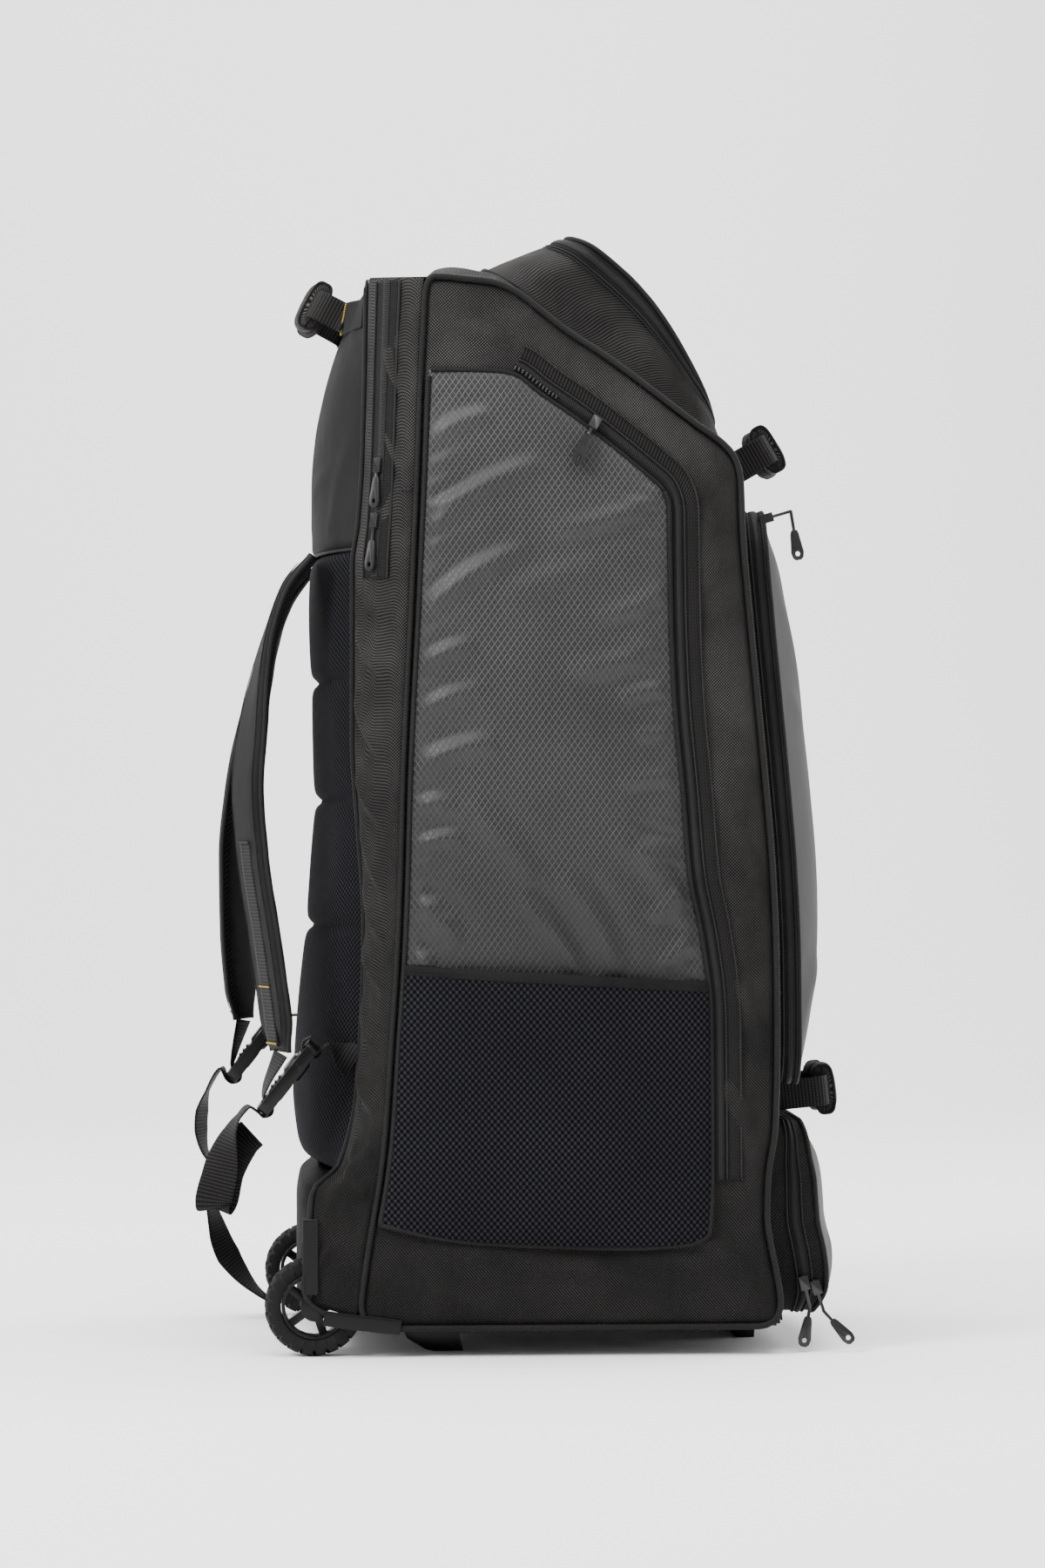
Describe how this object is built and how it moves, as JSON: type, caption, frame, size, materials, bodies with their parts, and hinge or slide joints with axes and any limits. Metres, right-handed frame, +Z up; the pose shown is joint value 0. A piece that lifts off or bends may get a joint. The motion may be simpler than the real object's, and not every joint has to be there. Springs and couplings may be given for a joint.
{
  "type": "wheeled cricket kit bag",
  "caption": "Tall upright wheeled kit bag with a piped body, side and mesh pockets, helmet, front and shoe pockets, padded backpack straps, grab handles, skids and spoked wheels.",
  "frame": {"origin": "on the ground, under the middle of the whole bag's box", "axes": "+X out of the front where the pockets are, +Y to the bag's left, +Z up"},
  "size_m": [0.57, 0.4368, 0.9633],
  "materials": {
    "ballistic_nylon": "black woven ballistic nylon, matt with a faint grey sheen",
    "ripstop_nylon": "black diamond ripstop with a satin face",
    "smooth_nylon": "smooth dark grey-black nylon",
    "pad_mesh": "black knitted air mesh over foam",
    "pocket_mesh": "blue-black open spacer mesh",
    "coated_cloth": "glossy coated black cloth",
    "zip_tape": "black reversed coil zip and its tape",
    "piping_cord": "black corded piping",
    "webbing": "black ribbed polyester webbing",
    "moulded_plastic": "black moulded plastic",
    "kick_plastic": "glossy dark grey moulded sheet",
    "tyre_rubber": "black moulded block tread",
    "pull_metal": "black plated sliders with black moulded tabs"
  },
  "bodies": {
    "bag": {"side_panel_right": "ballistic_nylon", "side_piping_right": "piping_cord", "back_gusset_right": "ballistic_nylon", "back_guard_right": "moulded_plastic", "base_guard_right": "moulded_plastic", "side_pocket_right": "ripstop_nylon", "side_pocket_zip_right": "zip_tape", "mesh_pocket_right": "pocket_mesh", "shoulder_strap_right": "smooth_nylon", "strap_buckle_right": "moulded_plastic", "strap_tail_right": "webbing", "strap_web_right": "webbing", "wheel_housing_right": "moulded_plastic", "skid_right": "moulded_plastic", "side_panel_left": "ballistic_nylon", "side_piping_left": "piping_cord", "back_gusset_left": "ballistic_nylon", "back_guard_left": "moulded_plastic", "base_guard_left": "moulded_plastic", "side_pocket_left": "ripstop_nylon", "side_pocket_zip_left": "zip_tape", "mesh_pocket_left": "pocket_mesh", "shoulder_strap_left": "smooth_nylon", "strap_buckle_left": "moulded_plastic", "strap_tail_left": "webbing", "strap_web_left": "webbing", "wheel_housing_left": "moulded_plastic", "skid_left": "moulded_plastic", "top_panel": "ballistic_nylon", "front_panel": "ballistic_nylon", "base_panel": "moulded_plastic", "bat_pocket": "smooth_nylon", "back_pad": "pad_mesh", "kick_plate": "kick_plastic", "front_foot": "moulded_plastic", "front_pocket_wall": "ballistic_nylon", "front_pocket_zip": "zip_tape", "front_pocket_face": "coated_cloth", "shoe_pocket_wall": "ballistic_nylon", "shoe_pocket_zip": "zip_tape", "shoe_pocket_face": "coated_cloth", "helmet_pocket_wall": "ballistic_nylon", "helmet_pocket_zip": "zip_tape", "helmet_pocket_lid": "coated_cloth", "top_handle_web": "webbing", "top_handle_sleeve": "ballistic_nylon", "front_handle_upper_web": "webbing", "front_handle_upper_sleeve": "ballistic_nylon", "front_handle_lower_web": "webbing", "front_handle_lower_sleeve": "ballistic_nylon", "side_pocket_pull": "pull_metal", "back_zip_pull_upper": "pull_metal", "back_zip_pull_lower": "pull_metal", "front_pocket_pull": "pull_metal", "shoe_pocket_pull_back": "pull_metal", "shoe_pocket_pull_front": "pull_metal"},
    "wheel_right": {"wheel_tyre_right": "tyre_rubber", "wheel_rim_right": "moulded_plastic"},
    "wheel_left": {"wheel_tyre_left": "tyre_rubber", "wheel_rim_left": "moulded_plastic"}
  },
  "joints": [
    {"name": "wheel_right_spin", "type": "hinge", "parent": "bag", "child": "wheel_right", "pos_m": [-0.17981, -0.157, 0.0425], "axis": [0, 1, 0], "continuous": true},
    {"name": "wheel_left_spin", "type": "hinge", "parent": "bag", "child": "wheel_left", "pos_m": [-0.17981, 0.157, 0.0425], "axis": [0, 1, 0], "continuous": true}
  ]
}
